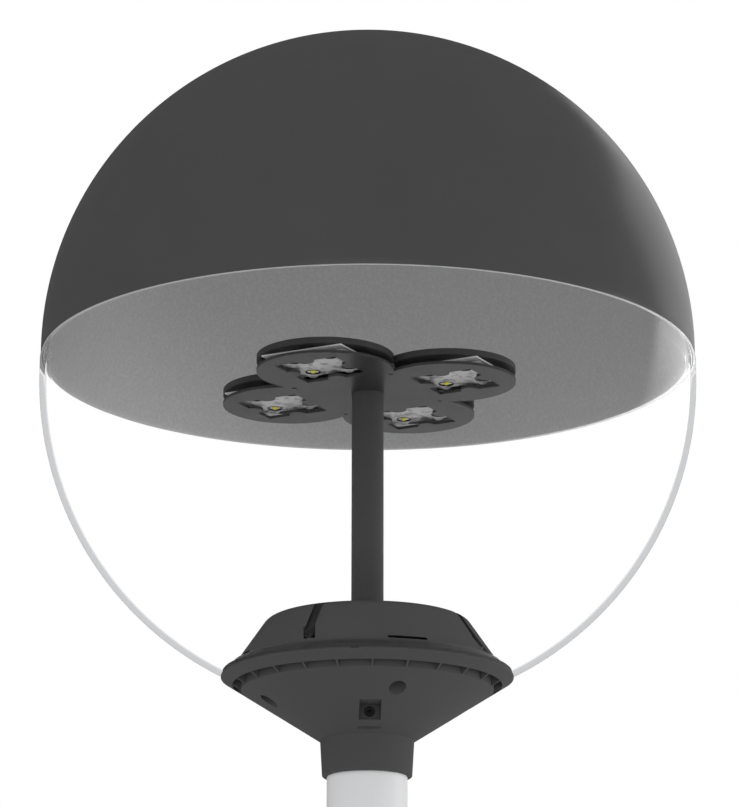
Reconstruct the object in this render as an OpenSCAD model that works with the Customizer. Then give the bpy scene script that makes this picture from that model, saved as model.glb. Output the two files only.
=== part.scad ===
// Globe post light: an opaque dome over a clear bowl, a four-lobed lamp head on a stem,
// and a cast base that clamps on the top of a round post.
// Origin: centre of the lower end of the post section. +Z is up and the front is at -Y.

/* [Post] */
// Outer diameter of the post
post_d = 60; // [48:1:76]
// Wall of the post tube
post_wall = 3; // [2:0.5:5]
// Length of post that shows below the base
post_shown = 184; // [60:2:1000]
// How much the post's upper end, which goes into the socket, is turned down at its radius
tenon_step = 0.4; // [0.2:0.1:1]
// Radial play between the post's upper end and its socket
post_play = 0.4; // [0.3:0.1:1]

/* [Base] */
// Depth of the socket that goes over the post
socket_depth = 72; // [60:1:90]
// Height of the neck below the cone
neck_h = 26.8; // [20:0.2:40]
// Wall of the neck at its mouth
neck_wall = 3.6; // [2.5:0.1:6]
// How much wider the neck is at its top
neck_flare = 1.5; // [0:0.1:4]
// Diameter of the flange that carries the bowl
flange_d = 219; // [200:1:264]
// Rise of the cone above the horizontal
cone_angle = 32.5; // [28:0.5:38]
// Wall of the cone, square to its face
cone_wall = 5; // [4:0.5:7]
// Height of the upright edge of the flange
edge_h = 1; // [0.8:0.1:5]
// Rise of the sloping seat of the bowl
seat_rise = 9.9; // [6:0.1:14]
// Width of the sloping seat of the bowl
seat_run = 11.1; // [8:0.1:16]
// Number of ribs in the groove under the flange
rib_count = 24; // [12:1:36]
// Thickness of a rib
rib_t = 1.4; // [1:0.1:3]
// Width of the ribbed groove
groove_w = 6.3; // [5:0.1:12]

/* [Clamp screws] */
// Number of set screws that clamp the post
set_screw_count = 3; // [3:1:3]
// Diameter of a set screw
set_screw_d = 8; // [6:1:10]
// Length of a set screw
set_screw_len = 12; // [10:1:13]
// Width of the pocket in front of a set screw
pocket_w = 16; // [12:0.5:20]
// Height of the pocket in front of a set screw
pocket_h = 11.7; // [9:0.1:14]

/* [Lid] */
// Height of the lid
lid_h = 33.3; // [28:0.1:45]
// How much narrower the lid is at its top
lid_run = 23; // [14:0.2:32]
// Wall of the lid
lid_wall = 3; // [2:0.5:4]
// Radius of the lid's shoulder
shoulder_r = 10; // [4:0.5:14]
// Width of a screw pocket in the lid
channel_w = 8.4; // [8:0.1:12]
// Width of a vent slot in the lid
vent_w = 30; // [10:1:40]

/* [Globe] */
// Outer diameter of the dome
globe_d = 500; // [420:2:640]
// Wall of the dome
dome_wall = 2.5; // [2:0.1:4]
// Wall of the reflector that lines the dome
liner_wall = 1; // [0.8:0.1:2]
// Wall of the clear bowl
bowl_wall = 5; // [4:0.5:6]
// How far the bowl stands out from the dome
bowl_proud = 0.5; // [0:0.1:1]
// Upright band of the bowl below the rim
bowl_belt = 14.2; // [12:0.2:24]
// Upright band of the dome above the rim
dome_belt = 6.6; // [4:0.2:16]
// Height of the bowl's spigot inside the dome
spigot_h = 9; // [6:0.5:14]

/* [Stem] */
// Diameter of the stem
stem_d = 24.4; // [18:0.2:30]
// Diameter of the threaded ends of the stem
stem_end_d = 19; // [14:0.5:20]
// Diameter of the bore for the lamp cable
stem_bore_d = 14; // [8:0.5:14]
// Diameter of the lamp cable
cable_d = 6; // [4:0.5:7]

/* [Lamp head] */
// Depth of the lamp head's lower face below the rim
lamp_drop = 23.3; // [10:0.1:60]
// Distance of a lobe's centre from the axis
lobe_at = 68.3; // [60:0.1:75]
// Radius of a lobe
lobe_r = 51.5; // [46:0.5:56]
// Thickness of the lower plate
low_plate_t = 2.2; // [1.5:0.1:4]
// Thickness of the upper plate, which takes the heat
top_plate_t = 4.5; // [3:0.1:8]
// Gap between the two plates
plate_gap = 5.5; // [5:0.1:10]
// Length of a lamp board, in the direction that all four share
board_len = 67; // [58:0.5:68]
// Width of a lamp board
board_width = 63; // [56:0.5:66]
// Thickness of the lamp board
board_t = 1; // [0.8:0.1:2]
// Distance of a window's centre from the axis
window_at = 74.7; // [66:0.1:78]
// Side of a window in the lower plate
window_w = 51; // [46:0.5:54]
// Depth of the tab in the middle of each side of a window
tab_depth = 7; // [4:0.5:9]
// Spacing of the lamps on a board
lamp_pitch = 30.6; // [26:0.2:32]
// Diameter of the dome over a lamp
lens_d = 11.2; // [9:0.2:14]

/* [Hidden] */

$fn = 96;
tiny = 0.01;
far = 1000;
front = -90;

// Colours
dark_coat = [0.27, 0.27, 0.28];
plate_coat = [0.34, 0.34, 0.35];
post_coat = [0.80, 0.81, 0.83];
board_coat = [0.74, 0.75, 0.77];
rubber = [0.12, 0.12, 0.12];
zinc = [0.72, 0.73, 0.75];
clear = [0.85, 0.90, 0.92, 0.35];

// Base
tenon_r = post_d / 2 - tenon_step;
tenon_gap = 0.5;
bore_r = tenon_r + post_play;
neck_low_r = bore_r + neck_wall;
neck_top_r = neck_low_r + neck_flare;
mouth_round = 1.2;
z_neck = post_shown;
flange_r = flange_d / 2;
// The socket, its roof and the tray lie one above the other in the head: a deeper socket lengthens the neck
roof_t = 4;
roof_play = 0.5;
tray_drop = 5.5;
cone_h = (flange_r - neck_top_r) * tan(cone_angle);
head_room = neck_h + cone_h + edge_h + seat_rise - tray_drop;
neck_more = max(0, socket_depth + roof_t + roof_play - head_room);
z_cone = z_neck + neck_h + neck_more;
lip_w = 8.7;
lip_r = flange_r - lip_w;
groove_r = lip_r - groove_w;
z_wall = cone_z(flange_r);
z_edge = z_wall + edge_h;
foot_r = flange_r - seat_run;
z_seat = z_edge + seat_rise;
groove_rise = 3.5;
z_groove = cone_z(lip_r) + groove_rise;
z_socket = z_neck + socket_depth;
stop_play = 0.3;
z_roof = z_socket + roof_t;
boss_r = bore_r + 6;
cavity_r = foot_r - 10.4;
seal_w = 2.2;
seal_t = 1.8;
seal_r = foot_r - 2;
drain_w = 6.4;
drain_at = -7;

// Set screws and their pockets
pocket_back_r = bore_r + 14;
z_pocket = cone_z(pocket_back_r + 3.6) - 0.3;
z_screw = z_pocket + pocket_h / 2 + 0.7;
screw_play = 0.1;
screw_tip_r = tenon_r + 0.3;
slot_w = 17;
slot_h = 1.6;
z_slot = cone_z(neck_top_r + 4.5) - 0.6;
z_floor = z_pocket + pocket_h + 5;

// Tray and its screws
tray_t = 1.6;
z_tray = z_seat - tray_drop;
tray_screw_at = 14.5;
hole_at_r = foot_r - 22.4;
hole_r = 6.3;
hole_depth = 14;
z_hole = cone_z(hole_at_r) + hole_depth;
m5_r = 2.5;
m5_clear = 0.2;
m5_head_r = 4.4;
m5_head_h = 3.2;
hole_wall = 3;

// Lid
z_lid = z_seat + lid_h;
lid_step = 0.4;
lid_foot_r = foot_r - lid_step;
lid_top_r = lid_foot_r - lid_run;
lid_turn = atan2(lid_h, lid_run);
lid_foot_t = 2;
shoulder_len = shoulder_r * tan(lid_turn / 2);
channel_at = -28;
channel_skew = 28;
channel_len = 10;
channel_floor = 1.4;
channel_wall = 2.4;
channel_mouth_r = foot_r - 2;
flute_at = -30;
flute_w = 7.5;
flute_depth = 2.4;
flute_start = 10;
lid_screw_len = 12;
lid_screw_inset = 5.4;
lid_head_r = 3.8;
vent_at = 15.5;
vent_h = 2.2;

// Stem
stem_r = stem_d / 2;
stem_end_r = stem_end_d / 2;
stem_bore_r = stem_bore_d / 2;
end_play = 0.2;
nut_h = 6;
nut_r = stem_end_r + 5;
washer_t = 1.5;
stem_below = lid_wall + washer_t + nut_h + 2;
z_stem_low = z_lid - stem_below;
cable_r = cable_d / 2;
bend_r = 8;

// Globe
bowl_r = globe_d / 2 + bowl_proud;
bowl_in_r = bowl_r - bowl_wall;
foot_inset = 1.2;
bowl_foot_r = flange_r - foot_inset;
bowl_seal_t = 2.3;
z_bowl = seat_z(bowl_foot_r) + bowl_seal_t + sqrt(pow(bowl_r, 2) - pow(bowl_foot_r, 2));
z_rim = z_bowl + bowl_belt;
z_dome = z_rim + dome_belt;
dome_r = globe_d / 2;
dome_in_r = dome_r - dome_wall;
liner_play = 0.3;
liner_r = dome_in_r - liner_play;
liner_in_r = liner_r - liner_wall;
spigot_r = liner_in_r - 0.4;
spigot_wall = 2.4;
spigot_root = 8;
rim_seal_t = 1.2;
rim_play = 0.3;
z_shoulder = z_rim - rim_play - rim_seal_t;

// Lamp head
lobe_angles = [for (k = [0:3]) -30 + 90 * k];
z_plate = z_rim - lamp_drop;
z_gap = z_plate + low_plate_t;
z_top_plate = z_gap + plate_gap;
z_head = z_top_plate + top_plate_t;
z_board = z_top_plate - board_t;
hub_r = 17;
notch_r = lobe_at * cos(45) + sqrt(pow(lobe_r, 2) - pow(lobe_at * sin(45), 2));
standoff_r = 3;
standoff_at = notch_r - 8;
z_stem_top = z_head + washer_t + nut_h + 2;
lamp_w = 5;
lamp_t = 0.7;
lens_t = 1.2;
lens_gap = 0.3;
lens_len = 64;
lens_width = 50.2;
peg_r = 1.5;
peg_at = 21.6;

// Driver and terminal block on the tray
driver_w = 88;
driver_d = 34;
driver_h = 25;
driver_y = 38;
block_w = 38;
block_d = 16;
block_h = 21;
block_y = -38;
gland_r = 10;
gland_hex_r = 13;

// Height of the cone's outer face at a radius
function cone_z(r) = z_cone + (r - neck_top_r) * tan(cone_angle);
// Height of the bowl's seat at a radius
function seat_z(r) = z_edge + (flange_r - r) * seat_rise / seat_run;
// Radius of the lid's outer face at a height above its foot
function lid_r(h) = lid_foot_r - h * lid_run / lid_h;
function arc(c, r, a, b, n) = [for (i = [0:n]) c + r * [cos(a + (b - a) * i / n), sin(a + (b - a) * i / n)]];
function plan(r, a) = r * [cos(front + a), sin(front + a)];
// Places of the lid screws: in their pockets, which lean away from the radius
function lid_screw_at(k) = plan(channel_mouth_r, channel_at + 90 * k)
    - plan(lid_screw_inset, channel_at + channel_skew + 90 * k);

// Puts its children at an angle from the front, with +X pointing outwards
module turned(a) {
    rotate([0, 0, front + a]) children();
}

module tube(r, hole, z, h) {
    translate([0, 0, z]) difference() {
        cylinder(r = r, h = h);
        translate([0, 0, -1]) cylinder(r = hole, h = h + 2);
    }
}

// Nut with six sides and a round bore
module hex_nut(r, hole, h) {
    difference() {
        cylinder(r = r, h = h, $fn = 6);
        translate([0, 0, -1]) cylinder(r = hole, h = h + 2);
    }
}

// Screw with its head up: the underside of the head is at the origin
module cap_screw(r, len, head_r, head_h) {
    difference() {
        union() {
            translate([0, 0, -len]) cylinder(r = r, h = len + tiny, $fn = 32);
            cylinder(r = head_r, h = head_h, $fn = 32);
        }
        translate([0, 0, head_h - head_h * 0.6]) cylinder(r = head_r * 0.5, h = head_h, $fn = 6);
    }
}

// Post

// Tube whose upper end is turned down, with a shoulder just below the neck
module post() {
    shoulder = z_neck - tenon_gap;
    color(post_coat) difference() {
        union() {
            cylinder(d = post_d, h = shoulder);
            cylinder(r = tenon_r, h = z_socket - stop_play);
        }
        translate([0, 0, -1]) cylinder(d = post_d - 2 * post_wall, h = z_socket + 2);
    }
}

// Base

module base_outline() {
    polygon(concat(
        [[0, z_neck]],
        arc([neck_low_r - mouth_round, z_neck + mouth_round], mouth_round, -90, 0, 6),
        [[neck_top_r, z_cone], [flange_r, z_wall], [flange_r, z_edge], [foot_r, z_seat], [0, z_seat]]));
}

// Radius of the cone's inner face at a height
function cone_in_r(z) = neck_top_r + (z - z_cone) / tan(cone_angle) - cone_wall / sin(cone_angle);

module base_cavity() {
    z_bend = z_cone + (cavity_r + cone_wall / sin(cone_angle) - neck_top_r) * tan(cone_angle);
    rotate_extrude() polygon([
        [boss_r, z_floor], [cone_in_r(z_floor), z_floor], [cavity_r, z_bend], [cavity_r, z_seat + 1],
        [0, z_seat + 1], [0, z_roof], [boss_r, z_roof]]);
}

// Ring groove under the flange, with the ribs left standing in it
module ribbed_groove() {
    difference() {
        tube(lip_r, groove_r, z_cone, z_groove - z_cone);
        for (i = [0:rib_count - 1])
            turned(i * 360 / rib_count)
                translate([groove_r - 1, -rib_t / 2, z_cone - 1])
                    cube([groove_w + 2, rib_t, z_groove - z_cone + 2]);
    }
}

// Pocket in the cone with the tapped hole of a set screw behind it and a drain slot below
module screw_pocket() {
    translate([pocket_back_r, -pocket_w / 2, z_pocket]) cube([far, pocket_w, pocket_h]);
    translate([bore_r - 1, 0, z_screw]) rotate([0, 90, 0])
        cylinder(r = set_screw_d / 2 + screw_play, h = pocket_back_r - bore_r + 2);
    translate([neck_top_r + 3, -slot_w / 2, z_slot]) cube([far, slot_w, slot_h]);
}

module base() {
    color(dark_coat) difference() {
        union() {
            difference() {
                rotate_extrude() base_outline();
                base_cavity();
            }
            // Bosses inside: under the tray and under the lid screws
            intersection() {
                union() {
                    for (k = [0:3]) {
                        translate(plan(hole_at_r, tray_screw_at + 90 * k))
                            translate([0, 0, z_floor - 1])
                                cylinder(r = hole_r + hole_wall, h = z_tray - z_floor + 1);
                        translate(lid_screw_at(k)) translate([0, 0, z_floor - 1])
                            cylinder(r = m5_r + 4, h = z_seat - z_floor + 1);
                    }
                }
                rotate_extrude() base_outline();
            }
        }
        translate([0, 0, z_neck - 1]) cylinder(r = bore_r, h = socket_depth + 1);
        translate([0, 0, z_socket - 1]) cylinder(r = gland_r + m5_clear, h = roof_t + 2);
        ribbed_groove();
        for (k = [0:set_screw_count - 1]) turned(k * 360 / set_screw_count) screw_pocket();
        for (k = [0:3]) {
            translate(plan(hole_at_r, tray_screw_at + 90 * k)) {
                translate([0, 0, z_cone]) cylinder(r = hole_r, h = z_hole - z_cone);
                translate([0, 0, z_cone]) cylinder(r = m5_r + m5_clear, h = far);
            }
            translate(lid_screw_at(k)) translate([0, 0, z_seat + channel_floor - lid_screw_len - 0.5])
                cylinder(r = m5_r, h = lid_screw_len);
        }
        // Groove of the lid seal and the drain notch of the bowl's seat
        tube(seal_r + seal_w / 2, seal_r - seal_w / 2, z_seat - seal_t, seal_t + 1);
        turned(drain_at) translate([bowl_foot_r - 0.8, -drain_w / 2, z_edge - 0.4]) cube([far, drain_w, 2.2]);
    }
}

// Gear inside the base

module gear_tray() {
    color(zinc) difference() {
        translate([0, 0, z_tray]) cylinder(r = cavity_r - 1.5, h = tray_t);
        translate([0, 0, z_tray - 1]) cylinder(r = gland_hex_r + 5, h = tray_t + 2);
        for (k = [0:3]) {
            translate(plan(hole_at_r, tray_screw_at + 90 * k)) translate([0, 0, z_tray - 1])
                cylinder(r = m5_r + m5_clear, h = tray_t + 2);
            translate(lid_screw_at(k)) translate([0, 0, z_tray - 1]) cylinder(r = m5_r + 5, h = tray_t + 2);
        }
        for (s = [-1, 1]) translate([s * (driver_w / 2 - 4), driver_y, z_tray - 1]) cylinder(r = 1.7, h = 4);
    }
}

module tray_screws() {
    color(zinc) for (k = [0:3]) translate(plan(hole_at_r, tray_screw_at + 90 * k)) translate([0, 0, z_hole])
        mirror([0, 0, 1]) cap_screw(m5_r, z_tray + tray_t + 5 - z_hole, m5_head_r, m5_head_h);
}

module tray_nuts() {
    color(zinc) for (k = [0:3]) translate(plan(hole_at_r, tray_screw_at + 90 * k))
        translate([0, 0, z_tray + tray_t]) hex_nut(4.6, m5_r, 4);
}

// Potted driver: a box with a lug at each end, seated on the tray
module driver() {
    lug_h = 3;
    color([0.90, 0.90, 0.88]) translate([0, driver_y, z_tray + tray_t]) difference() {
        union() {
            translate([-driver_w / 2, -driver_d / 4, 0]) cube([driver_w, driver_d / 2, lug_h]);
            translate([-driver_w / 2 + 9, -driver_d / 2, 0]) cube([driver_w - 18, driver_d, driver_h]);
        }
        for (s = [-1, 1]) translate([s * (driver_w / 2 - 4), 0, -1]) cylinder(r = 1.7, h = lug_h + 2);
    }
}

module driver_screws() {
    color(zinc) for (s = [-1, 1]) translate([s * (driver_w / 2 - 4), driver_y, z_tray + tray_t + 3])
        cap_screw(1.6, 6, 3, 1.8);
}

module terminal_block() {
    ways = 5;
    pitch = block_w / ways;
    color([0.86, 0.86, 0.84]) translate([0, block_y, z_tray + tray_t]) difference() {
        translate([-block_w / 2, -block_d / 2, 0]) cube([block_w, block_d, block_h]);
        for (i = [0:ways - 1]) translate([(i - (ways - 1) / 2) * pitch, 0, block_h - 5]) {
            cylinder(r = 2.2, h = 6, $fn = 24);
            translate([-2.2, -block_d / 2 - 1, -7]) cube([4.4, 5, 5]);
        }
    }
}

// Gland in the roof of the socket, where the supply cable comes in
module cable_gland() {
    color(rubber) difference() {
        union() {
            translate([0, 0, z_socket - 5]) cylinder(r = gland_r, h = roof_t + 6);
            translate([0, 0, z_roof]) cylinder(r = gland_hex_r, h = 4, $fn = 6);
            translate([0, 0, z_roof + 4]) cylinder(r = 10.5, h = 5);
            translate([0, 0, z_roof + 9]) cylinder(r1 = 10.5, r2 = 8, h = 3);
        }
        translate([0, 0, z_socket - 6]) cylinder(r = 5, h = far);
    }
}

module gland_nut() {
    color(rubber) translate([0, 0, z_socket - 4.5]) hex_nut(gland_hex_r, gland_r, 4.5);
}

// Lid

module lid_outline() {
    c = [lid_top_r - shoulder_len, z_lid - shoulder_r];
    polygon(concat([[0, z_seat], [0, z_lid]], arc(c, shoulder_r, 90, 90 - lid_turn, 10), [[lid_foot_r, z_seat]]));
}

// Box of the screw pockets, wider and longer by an allowance, from a height above the foot
module channel_box(more, low) {
    for (k = [0:3]) translate(plan(channel_mouth_r, channel_at + 90 * k))
        rotate([0, 0, front + channel_at + channel_skew + 90 * k])
            translate([-channel_len - more, -channel_w / 2 - more, z_seat + low])
                cube([far, channel_w + 2 * more, lid_h + 2]);
}

// Flutes that run from the screw pockets up the lid's slope, wider and deeper by an allowance
module flutes(more) {
    for (k = [0:3]) turned(flute_at + 90 * k) translate([lid_foot_r, 0, z_seat]) rotate([0, lid_turn - 90, 0])
        translate([-flute_depth - more, -flute_w / 2 - more, flute_start - more])
            cube([far, flute_w + 2 * more, far]);
}

module lid_cavity() {
    inset = lid_wall / sin(lid_turn);
    h_top = lid_h - lid_wall;
    rotate_extrude() polygon([
        [0, z_seat - 1], [cavity_r, z_seat - 1], [cavity_r, z_seat + lid_foot_t],
        [lid_r(lid_foot_t) - inset, z_seat + lid_foot_t],
        [lid_r(h_top - 4) - inset, z_seat + h_top - 4], [lid_r(h_top) - inset - 4, z_seat + h_top],
        [0, z_seat + h_top]]);
}

module lid() {
    color(dark_coat) difference() {
        rotate_extrude() lid_outline();
        difference() {
            lid_cavity();
            intersection() {
                union() {
                    channel_box(channel_wall, 0);
                    flutes(channel_wall);
                }
                rotate_extrude() lid_outline();
            }
        }
        channel_box(0, channel_floor);
        flutes(0);
        for (k = [0:3]) {
            translate(lid_screw_at(k)) translate([0, 0, z_seat - 1])
                cylinder(r = m5_r + m5_clear, h = channel_floor + 3);
            turned(vent_at + 90 * k) translate([cavity_r - 6, -vent_w / 2, z_seat - 1])
                cube([far, vent_w, vent_h + 1]);
        }
        translate([0, 0, z_lid - 10]) cylinder(r = stem_end_r + end_play, h = 20);
    }
}

module lid_seal() {
    color(rubber) tube(seal_r + seal_w / 2, seal_r - seal_w / 2, z_seat - seal_t, seal_t);
}

module lid_screws() {
    color(zinc) for (k = [0:3]) translate(lid_screw_at(k)) translate([0, 0, z_seat + channel_floor])
        cap_screw(m5_r - 0.05, lid_screw_len, lid_head_r, m5_head_h);
}

// Stem

module stem() {
    color(dark_coat) difference() {
        union() {
            translate([0, 0, z_lid]) cylinder(r = stem_r, h = z_plate - z_lid);
            translate([0, 0, z_stem_low]) cylinder(r = stem_end_r, h = z_stem_top - z_stem_low);
        }
        translate([0, 0, z_stem_low - 1]) cylinder(r = stem_bore_r, h = far);
    }
}

module stem_nut() {
    color(zinc) translate([0, 0, z_lid - lid_wall - washer_t - nut_h]) hex_nut(nut_r, stem_end_r, nut_h);
}

// Flat seal between the lid and the nut
module stem_seal() {
    color(rubber) tube(nut_r, stem_end_r, z_lid - lid_wall - washer_t, washer_t);
}

// Bushes that hold the lamp cable in both ends of the stem
module stem_grommets() {
    color(rubber) {
        tube(stem_bore_r, cable_r, z_stem_low, 4);
        tube(stem_bore_r, cable_r, z_stem_top - 4, 4);
    }
}

// Lamp cable: straight down the stem, round one bend and into the terminal block
module lamp_cable() {
    z_run = z_tray + tray_t + block_h - 5;
    bend_z = z_run + bend_r;
    color([0.2, 0.2, 0.2]) {
        translate([0, 0, bend_z]) cylinder(r = cable_r, h = z_stem_top + 3 - bend_z, $fn = 32);
        translate([0, -bend_r, bend_z]) rotate([0, 90, 0])
            rotate_extrude(angle = 90, $fn = 48) translate([bend_r, 0]) circle(r = cable_r, $fn = 32);
        translate([0, -bend_r, z_run]) rotate([90, 0, 0])
            cylinder(r = cable_r, h = -block_y - block_d / 2 - bend_r, $fn = 32);
    }
}

// Lamp head

module clover() {
    for (a = lobe_angles) translate(plan(lobe_at, a)) circle(r = lobe_r);
    circle(r = lobe_at - lobe_r * 0.6);
}

// Square with a rounded tab standing in from the middle of each side
module window_shape() {
    difference() {
        square(window_w, center = true);
        for (a = [0:90:270]) rotate([0, 0, a]) translate([window_w / 2, 0]) circle(r = tab_depth, $fn = 48);
    }
}

// Puts its children at a window's centre. What is in the windows lies the same way round in all four
module at_window(i) {
    translate(plan(window_at, lobe_angles[i])) rotate([0, 0, front + lobe_angles[0]]) children();
}

module lower_plate() {
    color(plate_coat) translate([0, 0, z_plate]) linear_extrude(low_plate_t) difference() {
        clover();
        circle(r = stem_end_r + end_play);
        for (i = [0:3]) at_window(i) window_shape();
        for (a = lobe_angles) translate(plan(standoff_at, a + 45)) circle(r = 1.7, $fn = 24);
    }
}

module upper_plate() {
    color(dark_coat) translate([0, 0, z_top_plate]) linear_extrude(top_plate_t) difference() {
        clover();
        circle(r = stem_end_r + end_play);
        for (a = lobe_angles) translate(plan(standoff_at, a + 45)) circle(r = 1.7, $fn = 24);
    }
}

// Spacer round the stem between the two plates
module plate_hub() {
    color(dark_coat) tube(hub_r, stem_end_r + end_play, z_gap, plate_gap);
}

module plate_standoffs() {
    color(zinc) for (a = lobe_angles) translate(plan(standoff_at, a + 45)) tube(standoff_r, 1.7, z_gap, plate_gap);
}

module plate_screws() {
    color(zinc) for (a = lobe_angles) translate(plan(standoff_at, a + 45)) translate([0, 0, z_head])
        cap_screw(1.6, z_head - z_plate - 0.5, 3, 1.8);
}

module head_nut() {
    color(zinc) {
        tube(nut_r, stem_end_r, z_head, washer_t);
        translate([0, 0, z_head + washer_t]) hex_nut(nut_r, stem_end_r, nut_h);
    }
}

module lamp_board(i) {
    color(board_coat) at_window(i) translate([-board_width / 2, -board_len / 2, z_board])
        cube([board_width, board_len, board_t]);
}

// Four small lamps in a square on the board of one lobe
module lamps(i) {
    color([0.86, 0.84, 0.36]) at_window(i)
        for (x = [-1, 1], y = [-1, 1]) translate([x * lamp_pitch / 2, y * lamp_pitch / 2, z_board - lamp_t])
            translate([-lamp_w / 2, -lamp_w / 2, 0]) cube([lamp_w, lamp_w, lamp_t]);
}

// Clear plate behind the window with a dome over each lamp
module lens(i) {
    z_low = z_board - lamp_t - lens_gap - lens_t;
    color(clear) at_window(i) {
        translate([-lens_width / 2, -lens_len / 2, z_low]) cube([lens_width, lens_len, lens_t]);
        for (x = [-1, 1], y = [-1, 1]) {
            translate([x * lamp_pitch / 2, y * lamp_pitch / 2, z_low + lens_t]) intersection() {
                sphere(r = lens_d / 2);
                translate([0, 0, -lens_d / 2]) cube([2 * lens_d, 2 * lens_d, lens_d], center = true);
            }
            translate([x * peg_at, y * peg_at, z_low]) cylinder(r = peg_r, h = z_board - z_low, $fn = 24);
        }
    }
}

// Globe

// Half of the section of a round shell about the axis: outer and inner radius, centre height
module shell_section(r, hole, z) {
    translate([0, z]) difference() {
        circle(r = r, $fn = 360);
        circle(r = hole, $fn = 360);
        translate([-far, -far]) square([far, 2 * far]);
    }
}

module bowl() {
    seal = bowl_seal_t;
    color(clear) rotate_extrude($fn = 180) union() {
        difference() {
            shell_section(bowl_r, bowl_in_r, z_bowl);
            translate([0, z_bowl]) square([far, far]);
            polygon([
                [0, z_bowl - far], [flange_r + 60, z_bowl - far],
                [flange_r + 60, seat_z(flange_r + 60) + seal], [flange_r - 60, seat_z(flange_r - 60) + seal],
                [0, seat_z(flange_r - 60) + seal]]);
        }
        translate([bowl_in_r, z_bowl - tiny]) square([bowl_wall, z_shoulder - z_bowl + tiny]);
        translate([spigot_r - spigot_wall, z_shoulder - spigot_root])
            square([bowl_in_r - spigot_r + spigot_wall + tiny, spigot_root]);
        translate([spigot_r - spigot_wall, z_shoulder - tiny]) square([spigot_wall, z_rim + spigot_h - z_shoulder]);
    }
}

// Seal between the bowl's edge and the sloping seat
module bowl_seal() {
    low = bowl_foot_r - 4.4;
    color(rubber) rotate_extrude() polygon([
        [low, seat_z(low)], [bowl_foot_r, seat_z(bowl_foot_r)],
        [bowl_foot_r, seat_z(bowl_foot_r) + bowl_seal_t], [low, seat_z(low) + bowl_seal_t]]);
}

module rim_seal() {
    color(rubber) tube(dome_r - 0.6, spigot_r + 0.4, z_shoulder, rim_seal_t);
}

module dome_section(r, hole, low) {
    difference() {
        shell_section(r, hole, z_dome);
        translate([0, z_dome - far]) square([far, far]);
    }
    translate([hole, low]) square([r - hole, z_dome - low + tiny]);
}

module dome() {
    color(dark_coat) rotate_extrude($fn = 180) dome_section(dome_r, dome_in_r, z_rim);
}

module reflector() {
    color([0.62, 0.62, 0.63]) rotate_extrude($fn = 180) dome_section(liner_r, liner_in_r, z_rim + 0.2);
}

// Set screw with a socket in its outer end, in its rest position against the post
module set_screw(i) {
    color(rubber) turned(i * 360 / set_screw_count) translate([screw_tip_r, 0, z_screw]) rotate([0, 90, 0])
        difference() {
            cylinder(r = set_screw_d / 2, h = set_screw_len);
            translate([0, 0, set_screw_len - 5]) cylinder(r = set_screw_d / 4, h = 6, $fn = 6);
        }
}

post();
base();
gear_tray();
tray_screws();
tray_nuts();
driver();
driver_screws();
terminal_block();
cable_gland();
gland_nut();
lid();
lid_seal();
lid_screws();
stem();
stem_nut();
stem_seal();
stem_grommets();
lamp_cable();
lower_plate();
upper_plate();
plate_hub();
plate_standoffs();
plate_screws();
head_nut();
for (i = [0:3]) lamp_board(i);
for (i = [0:3]) lamps(i);
for (i = [0:3]) lens(i);
bowl();
bowl_seal();
rim_seal();
dome();
reflector();
for (i = [0:2]) set_screw(i);
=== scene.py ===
"""Looks of the globe post light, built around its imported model.

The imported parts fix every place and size. This script gives them their finishes, makes the
pieces whose shape needs more than a plain solid, and sets up the studio and the camera.
Lengths are in metres unless a name says otherwise, and angles in degrees.
"""

from __future__ import annotations

import logging
import math
from dataclasses import dataclass
from enum import Enum
from typing import Callable, Iterable, Sequence, Union

import bmesh
import bpy
from mathutils import Matrix, Vector

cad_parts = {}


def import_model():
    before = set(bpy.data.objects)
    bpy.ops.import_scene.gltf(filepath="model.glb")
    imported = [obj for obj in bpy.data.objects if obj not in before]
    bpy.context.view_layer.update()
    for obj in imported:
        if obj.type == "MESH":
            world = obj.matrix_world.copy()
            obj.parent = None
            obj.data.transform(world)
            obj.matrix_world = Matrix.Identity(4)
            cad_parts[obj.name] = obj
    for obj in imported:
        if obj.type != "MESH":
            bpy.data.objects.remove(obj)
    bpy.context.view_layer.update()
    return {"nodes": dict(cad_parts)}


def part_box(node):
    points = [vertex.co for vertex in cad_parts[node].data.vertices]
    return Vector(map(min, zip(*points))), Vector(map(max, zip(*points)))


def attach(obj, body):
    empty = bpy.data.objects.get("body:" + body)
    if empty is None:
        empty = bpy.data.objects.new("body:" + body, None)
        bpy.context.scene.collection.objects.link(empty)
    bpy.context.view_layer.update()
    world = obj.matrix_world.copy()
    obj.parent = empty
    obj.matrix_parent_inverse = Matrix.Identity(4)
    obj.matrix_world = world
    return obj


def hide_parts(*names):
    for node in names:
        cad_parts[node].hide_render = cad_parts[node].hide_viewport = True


LOG = logging.getLogger("globe_light")
MM = 0.001
CREASE_ANGLE = 35.0
ON_AXIS = 0.0001 * MM
WELD = 0.001 * MM

Colour = tuple[float, float, float]
Point = tuple[float, float, float]
Pair = tuple[float, float]
Profile = Sequence[Pair]
Value = Union["Wire", float, int, Colour]


class Body(str, Enum):
    """The moving bodies that made pieces ride on."""

    HEAD = "head"
    DOME = "dome"


class Slot(str, Enum):
    """Names of material slots for the made pieces; seat is handed one but does not use it."""

    DARK = "dark_coat"
    DOME = "dome_coat"
    PLATE = "plate_coat"
    REFLECTOR = "reflector_white"
    GLASS = "clear_glass"
    LAMP = "lamp_yellow"
    RUBBER = "seal_rubber"


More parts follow.
